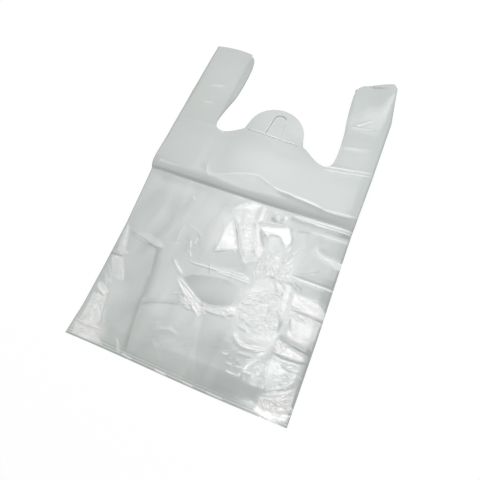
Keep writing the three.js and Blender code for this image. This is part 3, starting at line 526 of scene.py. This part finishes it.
def inside(x, y, outline):
    outline = np.array(outline, float)
    found = np.zeros(x.shape, bool)
    near = near_line(x, y, outline, 0)
    px, py = x[near], y[near]
    hit = np.zeros(px.shape, bool)
    for (x0, y0), (x1, y1) in zip(outline, np.roll(outline, -1, axis=0)):
        if y0 == y1:
            continue
        crosses = (y0 > py) != (y1 > py)
        hit ^= crosses & (px < (x1 - x0) * (py - y0) / (y1 - y0) + x0)
    found[near] = hit
    return found


# How the bag lies

def folds_at(row):
    share = np.asarray(row, float) / BAG_LENGTH
    left = -HALF + along(LEFT_DRIFT, share)
    right = HALF + along(RIGHT_DRIFT, share)
    left_fold = left + GUSSET_DEPTH + along(LEFT_GUSSET_DRIFT, share)
    right_fold = right - GUSSET_DEPTH - along(RIGHT_GUSSET_DRIFT, share)
    return left, left_fold, right_fold, right


def foot_sag(x):
    return FOOT_SAG * smooth((x + HALF) / (SAG_ACROSS * BAG_WIDTH))


# Where a place on a straight row lies once the foot sags and the handle tops are drawn in
def row_line(x, row):
    sag = foot_sag(x) * np.clip(1 - row / (SAG_ALONG * BAG_LENGTH), 0, 1)
    near_top = smooth((row - (BAG_LENGTH - CURL_LENGTH)) / CURL_LENGTH)
    middle = (MOUTH_TOP_HALF + HALF) / 2
    round_end = np.clip(((np.abs(x) - middle) / (HALF - middle)) ** 2, 0, 1)
    tilt = np.where(x > 0, TOP_TILT * (middle + CORNER_WIDTH - x), 0)
    corner = smooth((x - (HALF - CORNER_WIDTH - CURL_INSET)) / CORNER_WIDTH)
    inwards = np.clip((middle - x) / (middle - MOUTH_TOP_HALF), 0, 1) * (x > 0)
    outwards = smooth((x - OUTER_FROM) / OUTER_WITHIN)
    shrink = TOP_SHRINK + INNER_TUCK * inwards**INNER_POWER - OUTER_RISE * outwards
    tuck = shrink + np.maximum(TOP_TUCK * round_end + tilt, CURL_TUCK * corner)
    return row - sag - near_top * tuck


# Height that all the layers share: the tent above the storage fold, and the curled corner
def lift(x, y):
    crest = FOLD + along(CREST, x / HALF)
    rise = np.clip((y - FOLD) / (crest - FOLD), 0, 1)
    flatness = smooth((x - FLAT_FROM) / FLAT_WITHIN)
    below = (1 - flatness) * rise**BULGED + flatness * rise**FLAT
    above = 1 - smooth((y - crest) / (FOLD + TENT_REACH - crest))
    curl = smooth((x - (HALF - CURL_WIDTH - CURL_INSET)) / CURL_WIDTH)
    curl = curl * smooth((y - (BAG_LENGTH - CURL_LENGTH)) / CURL_LENGTH)
    return FOLD_LIFT * np.where(y < crest, below, above) + CURL_LIFT * curl


# How far apart the layers lie: close at the welds of the foot and the handle tops
def spread(y):
    foot = smooth((y - FOOT_WELD[1]) / WELD_REACH)
    top = smooth((TOP_WELD[0] - y) / WELD_REACH)
    return WELD_SPREAD + (1 - WELD_SPREAD) * np.minimum(foot, top)


# Draws one flat facet into the relief
def draw_facet(relief, corners, heights):
    a, b, c = corners
    low = np.maximum(np.floor(corners.min(axis=0)), 0).astype(int)
    high = np.minimum(np.ceil(corners.max(axis=0)) + 1, relief.shape[::-1]).astype(int)
    if (high <= low).any():
        return
    px, py = np.meshgrid(np.arange(low[0], high[0]), np.arange(low[1], high[1]))
    turn = (b[0] - a[0]) * (c[1] - a[1]) - (b[1] - a[1]) * (c[0] - a[0])
    v = ((px - a[0]) * (c[1] - a[1]) - (py - a[1]) * (c[0] - a[0])) / turn
    w = ((b[0] - a[0]) * (py - a[1]) - (b[1] - a[1]) * (px - a[0])) / turn
    covered = (v >= 0) & (w >= 0) & (v + w <= 1)
    z = heights[0] * (1 - v - w) + heights[1] * v + heights[2] * w
    window = relief[low[1]:high[1], low[0]:high[0]]
    window[covered] = z[covered]


# Piecewise flat relief between scattered points, drawn on a grid of SEED_GRID squares
def facet_relief(size, seed):
    random = np.random.RandomState(seed)
    extent = np.array([int(side / SEED_GRID) + 4 * GRID_MARGIN for side in (BAG_WIDTH, BAG_LENGTH)])
    step = np.array([size * FACET_STRETCH, size]) / SEED_GRID
    counts = (extent / step).astype(int) + 2
    across, up = np.meshgrid(np.arange(counts[0]), np.arange(counts[1]))
    jitter = random.uniform(-FACET_JITTER, FACET_JITTER, (across.size, 2))
    nodes = (np.stack([across.ravel(), up.ravel()], 1) + jitter - 0.5) * step
    heights = random.uniform(-0.5, 0.5, len(nodes))
    _, _, faces, _, _, _ = delaunay_2d_cdt([Vector(p) for p in nodes], [], [], 0, 1e-4)
    relief = np.zeros(extent[::-1])
    for face in faces:
        draw_facet(relief, nodes[list(face)], heights[list(face)])
    return relief


def sampled(relief, x, y):
    u = np.clip((x + HALF) / SEED_GRID + GRID_MARGIN, 0, relief.shape[1] - 2)
    v = np.clip(y / SEED_GRID + GRID_MARGIN, 0, relief.shape[0] - 2)
    i, j = u.astype(int), v.astype(int)
    du, dv = u - i, v - j
    low = relief[j, i] * (1 - du) + relief[j, i + 1] * du
    high = relief[j + 1, i] * (1 - du) + relief[j + 1, i + 1] * du
    return low * (1 - dv) + high * dv


def crumple_weight(x, y):
    weight = np.full(x.shape, CALM_FILM)
    for *patch, height in CRUMPLES:
        weight = np.maximum(weight, height * oval(x, y, patch, CRUMPLE_STEEPNESS))
    return weight


def crumple(x, y):
    total = np.zeros(x.shape)
    for size, seed, share in CRUMPLE_SCALES:
        total += share * sampled(facet_relief(size, seed), x, y)
    return crumple_weight(x, y) * total


def broad_facets(x, y):
    (across_x, across_y), (up_x, up_y) = BROAD_TURN
    across, up = across_x * x + across_y * y, BROAD_START + up_x * x + up_y * y
    turned = sampled(facet_relief(BROAD_SIZE, BROAD_SEED), across, up)
    return turned * smooth((FOLD - 2 - y) / BROAD_END)


# One short bent crease in an oval patch, in about the given direction
def short_crease(random, patch, direction, turn, deepest):
    cx, cy, across, up = patch
    around, away = random.uniform(0, 2 * math.pi), math.sqrt(random.uniform(0, 1))
    middle = np.array([cx + across * away * math.cos(around), cy + up * away * math.sin(around)])
    angle = math.radians(direction + turn * random.normal())
    ahead = np.array([math.cos(angle), math.sin(angle)])
    length = random.uniform(*SCATTER_LENGTH)
    sideways = random.uniform(-SCATTER_BEND, SCATTER_BEND) * length * np.array([-ahead[1], ahead[0]])
    points = [middle - ahead * length / 2, middle + sideways, middle + ahead * length / 2]
    height, white = deepest * random.uniform(*SCATTER_DEPTH), random.uniform(*SCATTER_WHITE)
    return points, height, random.uniform(*SCATTER_REACH), random.uniform(*SCATTER_REACH), white


def scattered_creases():
    random = np.random.RandomState(SCATTER_SEED)
    made = []
    for *patch, count, direction, turn, deepest in SCATTERED:
        made += [short_crease(random, patch, direction, turn, deepest) for _ in range(count)]
    return made


ALL_CREASES = CREASES + scattered_creases()


def crease_relief(x, y):
    total = np.zeros(x.shape)
    for points, height, left, right, white in ALL_CREASES:
        near, distance, ends = beside_line(x, y, points, max(left, right), CREASE_ENDS)
        pinch = PINCH_HEIGHT * min(white, 1) * np.clip(1 - np.abs(distance) / PINCH_WIDTH, 0, 1)
        total[near] += (height * np.clip(falling(distance, left, right), 0, 1) + pinch) * ends
    *patch, height = BLISTER
    return total + height * oval(x, y, patch, OVAL_STEEPNESS)


def slow_waves(x, y):
    places = [Vector((px / WAVE_ACROSS, py / WAVE_ALONG, WAVE_PLACE)) for px, py in zip(x, y)]
    return np.array([noise.noise(place) for place in places])


# Height of the front panel
def front_height(x, y):
    left, left_fold, right_fold, right = folds_at(y)
    over_leaves = 1 - smooth(np.minimum(x - left_fold, right_fold - x) / LEAF_STEP)
    base = FRONT_ALONE + (FRONT_OVER_LEAVES - FRONT_ALONE) * over_leaves
    edge = np.clip(np.minimum(x - left, right - x) / EDGE_REACH, 0, 1)
    base += EDGE_DROP * (1 - (1 - edge) ** 2)
    body = 1 - smooth((y - FOLD - 4) / BODY_FADE)
    relief = crease_relief(x, y) + crumple(x, y) + (CALM_TOP + (1 - CALM_TOP) * body) * slow_waves(x, y)
    relief += BROAD_HEIGHT * broad_facets(x, y)
    calm = smooth((y - FOOT_WELD[0]) / CALM_WELD) * smooth((TOP_WELD[0] - y) / CALM_WELD)
    calm = calm * (CALM_EDGE + (1 - CALM_EDGE) * smooth(edge * 2))
    shared = lift(x, y)
    return np.maximum(shared + spread(y) * base + calm * relief, shared + LEAST_RISE)


# Height of a layer that lies without creases
def layer_height(rise, x, y):
    return lift(x, y) + spread(y) * rise


# Die cuts

# Where a place of the straight cut lies
def laid(x, y):
    fade = np.clip((SLOPE_END - y) / (SLOPE_END - TEAR_LINE), 0, 1)
    beyond_tab = smooth((abs(x) - TAB_RADIUS) / (MOUTH_TOP_HALF - TAB_RADIUS))
    on_tab = smooth((TAB_RADIUS + TAB_FADE - abs(x)) / TAB_FADE)
    drift = along(MOUTH_DRIFT, y / BAG_LENGTH) * beyond_tab + TAB_DRIFT * on_tab
    return x + drift, y + NECK_SLOPE * x * fade


def bezier(a, b, c, d, count):
    t = np.linspace(0, 1, count + 1)[1:, None]
    a, b, c, d = (np.array(p, float) for p in (a, b, c, d))
    return list((1 - t) ** 3 * a + 3 * (1 - t) ** 2 * t * b + 3 * (1 - t) * t**2 * c + t**3 * d)


# Right half of the mouth, from the top of the tab to above the right handle's top
def mouth_side():
    centre = TEAR_LINE + TAB_RISE
    turns = np.linspace(math.pi / 2, 0.1, ARC_STEPS)
    points = [(TAB_RADIUS * math.cos(a), centre + TAB_RADIUS * math.sin(a)) for a in turns]
    bend = MOUTH_NECK_HALF - NECK_LOW_HALF
    foot = (TAB_RADIUS + TAB_FLARE, TEAR_LINE)
    low = (NECK_LOW_HALF, NECK_LOW)
    side = (MOUTH_NECK_HALF, NECK_LOW + 1.25 * bend)
    corner = (MOUTH_TOP_HALF, BAG_LENGTH - 1.4 * HANDLE_CORNER)
    end = (MOUTH_TOP_HALF + HANDLE_CORNER, BAG_LENGTH + 0.5)
    # what pulls the curves between these places
    slope = (TAB_RADIUS + 13, TEAR_LINE - 7), (NECK_LOW_HALF - 11, NECK_LOW)
    throat = (NECK_LOW_HALF + 0.6 * bend, NECK_LOW), (MOUTH_NECK_HALF, NECK_LOW + 0.5 * bend)
    inner = (MOUTH_NECK_HALF, NECK_LOW + 4 * bend), (MOUTH_TOP_HALF + 0.5, NECK_LOW + 5.5 * bend)
    pull = (MOUTH_TOP_HALF + 2, BAG_LENGTH - 0.5 * HANDLE_CORNER)
    points += [foot, *bezier(foot, *slope, low, SLOPE_STEPS), *bezier(low, *throat, side, TURN_STEPS)]
    points += [*bezier(side, *inner, corner, INNER_STEPS), *bezier(corner, pull, pull, end, TURN_STEPS)]
    points.append((end[0], BAG_LENGTH + HANDLE_CORNER))
    return [tuple(p) for p in points]


def mouth_outline():
    side = mouth_side()
    right = [laid(x, y) for x, y in side]
    left = [laid(-x, y) for x, y in side[1:]]
    return np.array(left[::-1] + right, float)


# The line moved sideways, to its left where the offset is positive
def beside(points, offset):
    points = np.array(points, float)
    ahead = np.vstack([points[1:], points[-1:]]) - np.vstack([points[:1], points[:-1]])
    return points + offset * np.stack([-ahead[:, 1], ahead[:, 0]], 1) / np.hypot(*ahead.T)[:, None]


def ribbon(points, width):
    return np.vstack([beside(points, -width / 2), beside(points, width / 2)[::-1]])


def slit_line():
    arch = TEAR_LINE + SLIT_HEIGHT - SLIT_HALF_TOP
    turns = np.linspace(0, math.pi, SLIT_STEPS)
    points = [(SLIT_HALF_FOOT, TEAR_LINE + SLIT_FOOT_GAP)]
    points += [(SLIT_HALF_TOP * math.cos(a), arch + SLIT_HALF_TOP * math.sin(a)) for a in turns]
    points.append((-SLIT_HALF_FOOT, TEAR_LINE + SLIT_FOOT_GAP))
    return [laid(x, y) for x, y in points]


def tear_slots():
    count = int((TAB_RADIUS - TEAR_PITCH / 2) // TEAR_PITCH)
    slots = []
    for i in range(-count, count + 1):
        ends = [laid(i * TEAR_PITCH + end, TEAR_LINE - TEAR_WIDTH) for end in (-TEAR_SLOT / 2, TEAR_SLOT / 2)]
        slots.append(ribbon(ends, TEAR_WIDTH))
    return slots


# Meshes of the film

FINE_ROWS = np.linspace(0, FINE_TOP, round(FINE_TOP / FINE_STEP) + 1)
COARSE_ROWS = np.linspace(FINE_TOP, BAG_LENGTH, round((BAG_LENGTH - FINE_TOP) / COARSE_STEP) + 1)
ROWS = np.concatenate([FINE_ROWS, COARSE_ROWS[1:]])
DIES = [mouth_outline(), ribbon(slit_line(), SLIT_WIDTH), *tear_slots()]


# Rows of places over a panel, and the number of the first place in each
def panel_places(columns):
    left, _, _, right = folds_at(ROWS)
    rows = [np.linspace(left[i], right[i], count + 1) for i, count in enumerate(columns)]
    x = np.concatenate(rows)
    y = np.concatenate([row_line(inner, row) for inner, row in zip(rows, ROWS)])
    return x, y, np.cumsum([0] + [len(inner) for inner in rows])


# Numbers of the places round the panel's rim
def rim(first):
    foot = list(range(0, first[1]))
    top = list(range(first[-2], first[-1]))
    right_side = list(first[2:-1] - 1)
    left_side = list(first[1:-2])
    return foot + right_side + top[::-1] + left_side[::-1]


# Which places leave room for the points beside the crease lines
def clear_of(x, y, creases):
    clear = np.ones(len(x), bool)
    room = PINCH_SIDES[-1] + POINT_GAP
    for line in creases:
        near = near_line(x, y, line, room)
        distance, _ = line_distance(x[near], y[near], line)
        clear[near] &= np.abs(distance) > room
    return clear


def ring(numbers):
    return list(zip(numbers, numbers[1:] + numbers[:1]))


def add_crease(line, places, edges):
    start = len(places)
    places += line.tolist()
    edges += [(start + k, start + k + 1) for k in range(len(line) - 1)]
    for offset in PINCH_SIDES:
        places += beside(line, offset).tolist() + beside(line, -offset).tolist()


def add_die(die, places, edges):
    edges += ring(list(range(len(places), len(places) + len(die))))
    places += die.tolist()


# Triangles of a panel between its folded edges, cut by the dies and with an edge along each crease line
def panel(columns, creases):
    x, y, first = panel_places(columns)
    around = rim(first)
    keep = clear_of(x, y, creases)
    keep[around] = True
    around = (np.cumsum(keep) - 1)[around].tolist()
    places = np.stack([x[keep], y[keep]], 1).tolist()
    outline = [places[i] for i in around]
    edges = ring(around)
    for line in creases:
        add_crease(line, places, edges)
    for die in DIES:
        add_die(die, places, edges)
    verts, _, faces, _, _, _ = delaunay_2d_cdt([Vector(p) for p in places], edges, [], 0, 1e-4)
    verts = np.array([tuple(v) for v in verts])
    faces = np.array(faces)
    middle_x, middle_y = verts[faces].mean(axis=1).T
    kept = inside(middle_x, middle_y, outline)
    for die in DIES:
        kept &= ~inside(middle_x, middle_y, die)
    used, faces = np.unique(faces[kept], return_inverse=True)
    return verts[used], faces.reshape(-1, 3)


# Grid between two lines of points, each with a place for every row
def strip(lines, points, up):
    start = len(points)
    for line in lines:
        points += line.tolist()
    count = len(ROWS)
    faces = []
    for band in range(len(lines) - 1):
        for row in range(count - 1):
            a = start + band * count + row
            quad = (a, a + count, a + count + 1, a + 1)
            faces.append(quad if up else quad[::-1])
    return faces


# Line through every row at x, at the height of one layer or midway between two, moved out sideways
def edge_line(x, *heights, out=0):
    y = row_line(x, ROWS)
    return np.stack([x + out, y, np.mean([height(x, y) for height in heights], axis=0)], 1)


# The two leaves of a gusset, from the front film in to the fold and out again to the back film
def gusset(edge, fold, side, points):
    turn_out = (FRONT_OVER_LEAVES - FRONT_LEAF) / 2 * side
    places = [edge + (fold - edge) * share for share in np.linspace(0, 1, LEAF_COLUMNS + 1)]
    front_leaf, back_leaf = partial(layer_height, FRONT_LEAF), partial(layer_height, BACK_LEAF)
    back = partial(layer_height, BACK)
    lines = [edge_line(edge, front_height), edge_line(edge, front_height, front_leaf, out=turn_out)]
    lines += [edge_line(place, front_leaf) for place in places]
    lines.append(edge_line(fold, front_leaf, back_leaf, out=-turn_out))
    lines += [edge_line(place, back_leaf) for place in places[::-1]]
    lines += [edge_line(edge, back_leaf, back, out=turn_out), edge_line(edge, back)]
    return strip(lines, points, side > 0)


def crease_lines():
    return [resampled(rounded(points), CREASE_STEP) for points, *_ in ALL_CREASES]


# Columns in each row: fine over the creased body and at the top weld, coarse between them
def front_columns():
    fine, coarse = round(BAG_WIDTH / FINE_STEP), round(BAG_WIDTH / COARSE_STEP)
    return [fine] * len(FINE_ROWS) + [coarse] * (len(ROWS) - len(FINE_ROWS) - 1) + [fine]


def back_columns():
    return [BACK_COLUMNS if i % BACK_EVERY == 0 else 1 for i in range(len(ROWS))]


# Tone of the film before whitening and painted highlights: painted shade along its edges and foot, darker
# handle strips, painted shade beside creases, and broad haze with painted light and shade
def plain_tone(x, y):
    left, left_fold, right_fold, right = folds_at(y)
    alone = smooth(np.minimum(x - left_fold, right_fold - x) / STRIP_EDGE)
    handles = smooth((y - TEAR_LINE) / STRIP_FADE) * (np.abs(x) > TAB_RADIUS + TAB_FLARE)
    tone = FILM_TONE + STRIP_TONE * alone * handles
    tone += RIM_SHADE * np.exp(-((np.minimum(x - left, right - x) / RIM_WIDTH) ** 2))
    for *patch, amount in HAZE_AND_PAINTED_LIGHT:
        tone += amount * oval(x, y, patch, OVAL_STEEPNESS)
    for points, left_reach, right_reach, amount in SHADES:
        reach = max(left_reach, right_reach)
        near, distance, ends = beside_line(x, y, points, reach, SHADE_ENDS)
        tone[near] += amount * smooth(falling(distance, left_reach, right_reach)) * ends
    above_foot = y + foot_sag(x)
    for height, width, amount in FOOT_LINES:
        tone += amount * np.exp(-(((above_foot - height) / width) ** 2))
    return tone + BROAD_TONE * broad_facets(x, y)


# Amount inside an outline with an amount at each corner, with a soft edge
def blended(x, y, corners):
    outline, amounts = corners[:, :2], corners[:, 2]
    edge = np.abs(line_distance(x, y, np.vstack([outline, outline[:1]]))[0])
    depth = np.where(inside(x, y, outline), edge, -edge)
    pull = 1 / ((x[:, None] - outline[:, 0]) ** 2 + (y[:, None] - outline[:, 1]) ** 2 + 1)
    return (pull * amounts).sum(axis=1) / pull.sum(axis=1) * smooth(0.5 + depth / TONE_EDGE)


# How far the film has whitened and is painted lighter as highlights, and darkened as painted shade, over
# areas and along the creases
def painted_light_and_whitening(x, y):
    white, dark = np.zeros(x.shape), np.zeros(x.shape)
    _, (size, seed, _) = CRUMPLE_SCALES
    # unevenness of the whitening and painted highlights
    uneven_painted_light = 1 + TONE_MOTTLE * sampled(facet_relief(size, seed), x, y)
    for area in WHITENED_AND_PAINTED_LIGHT:
        corners = np.array(area, float)
        near = near_line(x, y, corners[:, :2], TONE_EDGE)
        amount = blended(x[near], y[near], corners)
        white[near] = np.maximum(white[near], WHITE_SHARE * amount * uneven_painted_light[near])
        dark[near] = np.minimum(dark[near], amount)
    for points, _, _, _, most in ALL_CREASES:
        near, distance, ends = beside_line(x, y, points, WHITE_REACH, CREASE_ENDS)
        amount = most * ends * np.exp(-((distance / WHITE_WIDTH) ** 2))
        white[near] = np.maximum(white[near], amount)
        dark[near] = np.minimum(dark[near], amount)
    return white, dark


def tone_of(x, y):
    tone = plain_tone(x, y)
    white, dark = painted_light_and_whitening(x, y)
    return np.clip(tone + dark, 0, 1) + (1 - tone) * np.clip(white, 0, 1)


# Places and faces of the panels and gussets
def film_layers():
    left, left_fold, right_fold, right = folds_at(ROWS)
    front, front_faces = panel(front_columns(), crease_lines())
    back, back_faces = panel(back_columns(), [])
    points = np.column_stack([front, front_height(*front.T)]).tolist()
    faces = front_faces.tolist() + (back_faces[:, ::-1] + len(points)).tolist()
    points += np.column_stack([back, layer_height(BACK, *back.T)]).tolist()
    faces += gusset(left, left_fold, -1, points)
    faces += gusset(right, right_fold, 1, points)
    return np.array(points), faces


def film_bag():
    points, faces = film_layers()
    mesh = bpy.data.meshes.new("film_bag")
    mesh.from_pydata(((points - (*ORIGIN, 0)) / MM_PER_M).tolist(), [], faces)
    for name, values in (("tone", tone_of), ("crumple", crumple_weight)):
        layer = mesh.attributes.new(name, "FLOAT", "POINT")
        layer.data.foreach_set("value", values(points[:, 0], points[:, 1]).astype(np.float32))
    joined = bmesh.new()
    joined.from_mesh(mesh)
    bmesh.ops.remove_doubles(joined, verts=joined.verts, dist=MERGED)
    joined.to_mesh(mesh)
    joined.free()
    mesh.shade_smooth()
    bag = bpy.data.objects.new("film_bag", mesh)
    bpy.context.collection.objects.link(bag)
    return bag


# Materials

def feed(tree, socket, value):
    if isinstance(value, bpy.types.NodeSocket):
        tree.links.new(value, socket)
    else:
        socket.default_value = value


# A node with inputs that are set to values or linked to other nodes' outputs
def node(tree, kind, **inputs):
    made = tree.nodes.new(kind)
    for name, value in inputs.items():
        feed(tree, made.inputs[name], value)
    return made


def maths(tree, operation, first, second, kind="ShaderNodeMath", output="Value"):
    made = tree.nodes.new(kind)
    made.operation = operation
    feed(tree, made.inputs[0], first)
    feed(tree, made.inputs[1], second)
    return made.outputs[output]


vector_maths = partial(maths, kind="ShaderNodeVectorMath", output="Vector")


def material_named(name):
    material = bpy.data.materials.new(name)
    material.use_nodes = True
    return material, material.node_tree, material.node_tree.nodes["Principled BSDF"]


def attribute(tree, name):
    made = tree.nodes.new("ShaderNodeAttribute")
    made.attribute_name = name
    return made.outputs["Fac"]


# Wrinkles finer than the mesh: flat cells, each tilted its own way
def tilted_cells(tree, place, scale, slope):
    cells = node(tree, "ShaderNodeTexVoronoi", Vector=place, Scale=scale)
    away = vector_maths(tree, "SUBTRACT", place, cells.outputs["Position"])
    tilt = vector_maths(tree, "SUBTRACT", cells.outputs["Color"], (0.5, 0.5, 0.5))
    height = vector_maths(tree, "DOT_PRODUCT", away, tilt, output="Value")
    return maths(tree, "MULTIPLY", height, slope), cells.outputs["Distance"]


# The place turned and shortened, so that what is drawn there streaks across the bag
def streaks(tree, place):
    turn, stretch = (0, 0, STREAK_TURN), (STREAK_LENGTH, 1, 1)
    turned = node(tree, "ShaderNodeMapping", Vector=place, Rotation=turn, Scale=stretch)
    turned.vector_type = "TEXTURE"
    return turned.outputs["Vector"]


# Colour of the film at a tone
def tone_ramp(tree, tone):
    ramp = node(tree, "ShaderNodeValToRGB", Fac=tone)
    ramp.color_ramp.elements[0].color = (*FILM_DARK, 1)
    ramp.color_ramp.elements[1].color = (*FILM_WHITE, 1)
    ramp.color_ramp.elements.new(FILM_TONE).color = (*FILM_PLAIN, 1)
    return ramp.outputs["Color"]


def film_material():
    material, tree, shader = material_named("white_film")
    place = tree.nodes.new("ShaderNodeTexCoord").outputs["Object"]
    warp = node(tree, "ShaderNodeTexNoise", Vector=place, Scale=WARP_SCALE, Detail=WARP_DETAIL)
    warped = vector_maths(tree, "MULTIPLY", warp.outputs["Color"], (WARP_REACH,) * 3)
    moved = vector_maths(tree, "ADD", streaks(tree, place), warped)
    (large, large_middle), (small, small_middle) = [tilted_cells(tree, moved, *cell) for cell in CELLS]
    crumpled = attribute(tree, "crumple")
    depth = maths(tree, "MULTIPLY", maths(tree, "ADD", large, small), crumpled)
    # painted light and shade of the fine wrinkles, lighter towards the rims of the cells
    cell_light_and_shade = maths(tree, "SUBTRACT", maths(tree, "ADD", large_middle, small_middle), CELL_SHADE_MIDDLE)
    uneven_painted_light = maths(tree, "MULTIPLY", maths(tree, "MULTIPLY", cell_light_and_shade, crumpled), CELL_SHADE_SHARE)
    tone = maths(tree, "ADD", attribute(tree, "tone"), uneven_painted_light)
    bump = node(tree, "ShaderNodeBump", Strength=1, Distance=1, Height=depth)
    shader.inputs["Roughness"].default_value = FILM_ROUGHNESS
    shader.inputs["IOR"].default_value = FILM_IOR
    tree.links.new(tone_ramp(tree, tone), shader.inputs["Base Color"])
    tree.links.new(bump.outputs["Normal"], shader.inputs["Normal"])
    return material


# White to the camera and in reflections, with a share of paint that takes the shadow
def floor_material():
    material, tree, paint = material_named("studio_floor")
    paint.inputs["Base Color"].default_value = (FLOOR_PAINT, FLOOR_PAINT, FLOOR_PAINT, 1)
    paint.inputs["Roughness"].default_value = FLOOR_ROUGHNESS
    white = node(tree, "ShaderNodeEmission", Strength=FLOOR_GLOW)
    path = tree.nodes.new("ShaderNodeLightPath").outputs
    seen = maths(tree, "MAXIMUM", path["Is Camera Ray"], path["Is Glossy Ray"])
    mix = node(tree, "ShaderNodeMixShader", Fac=maths(tree, "MULTIPLY", seen, FLOOR_GLOW_SHARE))
    tree.links.new(paint.outputs[0], mix.inputs[1])
    tree.links.new(white.outputs[0], mix.inputs[2])
    tree.links.new(mix.outputs[0], tree.nodes["Material Output"].inputs["Surface"])
    return material


# Stage

def floor():
    bpy.ops.mesh.primitive_plane_add(size=FLOOR_SIZE, location=(0, 0, -FLOOR_BELOW))
    made = bpy.context.object
    made.name = "studio_floor"
    made.data.materials.append(floor_material())


# Area lamp at a place in metres, aimed at a point, giving a plain radiance over its square
def lamp(name, place, aim, size, radiance, colour=(1, 1, 1), mirrored=True):
    data = bpy.data.lights.new(name, "AREA")
    data.shape = "RECTANGLE"
    data.size, data.size_y = size
    data.energy = radiance * math.pi * size[0] * size[1]
    data.color = colour
    made = bpy.data.objects.new(name, data)
    made.location = place
    made.rotation_euler = (Vector(aim) - Vector(place)).to_track_quat("-Z", "Y").to_euler()
    made.visible_glossy = mirrored
    bpy.context.collection.objects.link(made)


def lights():
    x, y, z = SOFTBOX
    width, length = SOFTBOX_SIZE
    lamp("softbox", SOFTBOX, (x, y, 0), SOFTBOX_SIZE, SOFTBOX_RADIANCE, SOFTBOX_COLOUR)
    for step, radiance in enumerate(BORDER_RADIANCES):
        left = x - width / 2 - (step + 0.5) * BORDER_WIDTH
        lamp("softbox_edge", (left, y, z), (left, y, 0), (BORDER_WIDTH, length), radiance, SOFTBOX_COLOUR)
    for name, place, size, radiance in CORES:
        lamp(name, place, (0, 0, 0), size, radiance)
    lamp("left_key", (-2.2, 1.0, 1.2), (0, 0, 0), (1.6, 1.6), 2.2, (1, 1, 0.95), mirrored=False)
    lamp("right_fill", (0.7, 0.35, 0.7), (0, 0, 0), (0.5, 0.5), 4.2, (0.93, 0.97, 1), mirrored=False)


# White to the camera, dimmer as a light
def world():
    made = bpy.data.worlds.new("studio")
    made.use_nodes = True
    tree = made.node_tree
    seen = tree.nodes.new("ShaderNodeLightPath").outputs["Is Camera Ray"]
    strength = node(tree, "ShaderNodeMapRange", **{"Value": seen, "To Min": WORLD_LIGHT, "To Max": 1})
    background = tree.nodes["Background"]
    background.inputs["Color"].default_value = (1, 1, 1, 1)
    tree.links.new(strength.outputs["Result"], background.inputs["Strength"])
    bpy.context.scene.world = made


def camera():
    data = bpy.data.cameras.new("camera")
    data.sensor_width = CAMERA_SENSOR
    data.sensor_fit = "HORIZONTAL"
    data.lens = CAMERA_LENS
    made = bpy.data.objects.new("camera", data)
    right, up = Vector(CAMERA_RIGHT), Vector(CAMERA_UP)
    turn = Matrix((right, up, right.cross(up))).transposed().to_4x4()
    place = (Vector(CAMERA_PLACE) - Vector((*ORIGIN, 0))) / MM_PER_M
    made.matrix_world = Matrix.Translation(place) @ turn
    bpy.context.collection.objects.link(made)
    bpy.context.scene.camera = made


camera()
floor()
lights()
world()
bag = film_bag()
bag.data.materials.append(film_material())
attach(bag, "root")
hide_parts("carrier_bag")

scene = bpy.context.scene
scene.view_settings.view_transform = "Standard"
